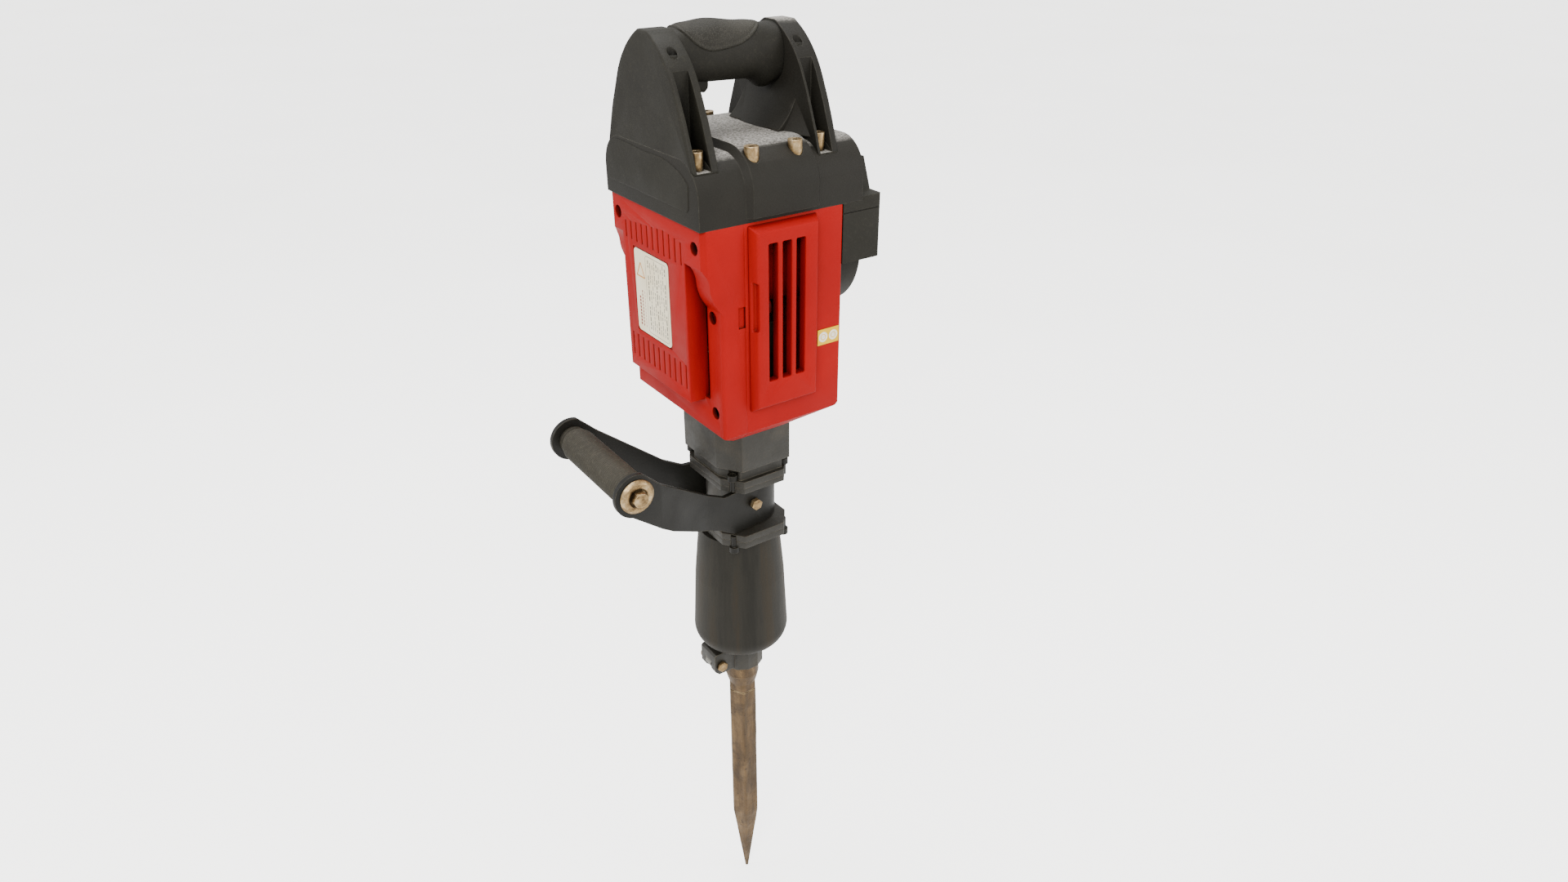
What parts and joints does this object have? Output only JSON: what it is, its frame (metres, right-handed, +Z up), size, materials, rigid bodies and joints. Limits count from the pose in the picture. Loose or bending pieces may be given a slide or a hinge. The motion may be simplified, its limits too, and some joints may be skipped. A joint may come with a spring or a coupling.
{
  "type": "demolition hammer",
  "caption": "Upright electric breaker: red gear and motor housing under a black cap and arched grip, side handle on the neck, rubber bell, latch ring and point chisel.",
  "frame": {"origin": "centre of the tool holder's mouth on the impact axis, level with the underside of the retainer ring", "axes": "+Z up along the impact axis, from the chisel point to the top grip; +X from the gear cover and side-handle side to the motor's rear cover; -Y out of the front grille"},
  "size_m": [0.304, 0.1756, 1.0014],
  "materials": {
    "lamination": "laminated",
    "machined_steel": "machined",
    "copper": "enamelled wire and bars",
    "yellow_zinc": "yellow zinc plating",
    "carbon": "pressed carbon",
    "worn_steel": "worn and stained, with light rust",
    "black_strap": "satin black",
    "seal_rubber": "black",
    "black_casting": "black enamel",
    "bell_rubber": "black, streaked",
    "red_plastic": "fine texture",
    "cast_alloy": "as cast",
    "soft_grip": "stippled",
    "black_plastic": "fine spark texture",
    "yellow_film": "printed film",
    "cream_label": "printed film",
    "rusty_steel": "light surface rust"
  },
  "bodies": {
    "hammer": {"cap_screws": "yellow_zinc", "carbon_brushes": "carbon", "cord_guard": "seal_rubber", "cover_screws": "machined_steel", "crankcase": "black_casting", "cylinder": "machined_steel", "field_coils": "copper", "flange_bolts": "black_strap", "front_bell": "bell_rubber", "front_cover": "black_casting", "front_grille": "red_plastic", "gear_cover": "red_plastic", "gear_plate": "cast_alloy", "grip_pad": "soft_grip", "left_upright": "black_plastic", "lock_sticker": "yellow_film", "main_housing": "red_plastic", "motor_bearings": "machined_steel", "neck_column": "black_casting", "plate_bearings": "machined_steel", "ram_damper": "seal_rubber", "rating_label": "cream_label", "rear_cover": "black_plastic", "rear_grille": "red_plastic", "retainer_ring": "black_casting", "right_upright": "black_plastic", "screw_plugs": "black_plastic", "stator": "lamination", "striker_guide": "machined_steel", "switch": "carbon", "tool_holder": "rusty_steel", "top_cap": "black_plastic", "top_grip": "black_plastic"},
    "crank": {"crankshaft": "machined_steel", "crank_gear": "machined_steel"},
    "idler": {"idler_gear": "machined_steel", "idler_pinion": "machined_steel"},
    "armature": {"armature_shaft": "machined_steel", "armature_core": "lamination", "armature_winding": "copper", "commutator": "copper", "motor_fan": "black_plastic"},
    "piston_group": {"piston": "machined_steel", "piston_ring": "seal_rubber", "piston_pin": "machined_steel"},
    "rod": {"connecting_rod": "machined_steel"},
    "ram_group": {"ram": "machined_steel", "ram_ring": "seal_rubber"},
    "striker_group": {"striker": "machined_steel"},
    "chisel_group": {"chisel": "worn_steel"},
    "retainer": {"retainer_cam": "machined_steel", "retainer_pin": "black_casting"},
    "side_handle": {"side_strap": "black_strap", "side_grip": "black_strap", "side_bolts": "yellow_zinc", "side_washers": "yellow_zinc", "clamp_screw": "black_strap"},
    "trigger_group": {"trigger": "black_plastic"},
    "lock_group": {"lock_button": "black_plastic"}
  },
  "joints": [
    {"name": "armature_spin", "type": "hinge", "parent": "hammer", "child": "armature", "pos_m": [0, 0, 0.465], "axis": [1, 0, 0], "continuous": true},
    {"name": "idler_spin", "type": "hinge", "parent": "hammer", "child": "idler", "pos_m": [0, 0.00345, 0.41712], "axis": [1, 0, 0], "continuous": true},
    {"name": "crank_spin", "type": "hinge", "parent": "hammer", "child": "crank", "pos_m": [0, 0, 0.37], "axis": [1, 0, 0], "continuous": true},
    {"name": "piston_slide", "type": "slide", "parent": "hammer", "child": "piston_group", "axis": [0, 0, 1], "range_m": [0, 0.04]},
    {"name": "rod_swing", "type": "hinge", "parent": "piston_group", "child": "rod", "pos_m": [0, 0, 0.26], "axis": [1, 0, 0], "range_deg": [-12.8, 12.8]},
    {"name": "ram_slide", "type": "slide", "parent": "hammer", "child": "ram_group", "axis": [0, 0, 1], "range_m": [0, 0.023]},
    {"name": "striker_slide", "type": "slide", "parent": "hammer", "child": "striker_group", "axis": [0, 0, 1], "range_m": [0, 0.002]},
    {"name": "chisel_slide", "type": "slide", "parent": "hammer", "child": "chisel_group", "axis": [0, 0, 1], "range_m": [-0.028, 0]},
    {"name": "retainer_turn", "type": "hinge", "parent": "hammer", "child": "retainer", "pos_m": [-0.035, 0, 0.014], "axis": [0, 1, 0], "range_deg": [0, 100]},
    {"name": "side_handle_swivel", "type": "hinge", "parent": "hammer", "child": "side_handle", "pos_m": [0, 0, 0.218], "axis": [0, 0, 1], "continuous": true},
    {"name": "trigger_squeeze", "type": "slide", "parent": "hammer", "child": "trigger_group", "axis": [0, 0, 1], "range_m": [0, 0.006]},
    {"name": "lock_button_press", "type": "slide", "parent": "hammer", "child": "lock_group", "axis": [0, -1, 0], "range_m": [0, 0.003]}
  ],
  "couplings": [
    {"joint": "idler_spin", "follows": "crank_spin", "ratio": -3.1538},
    {"joint": "armature_spin", "follows": "crank_spin", "ratio": 13.667}
  ]
}
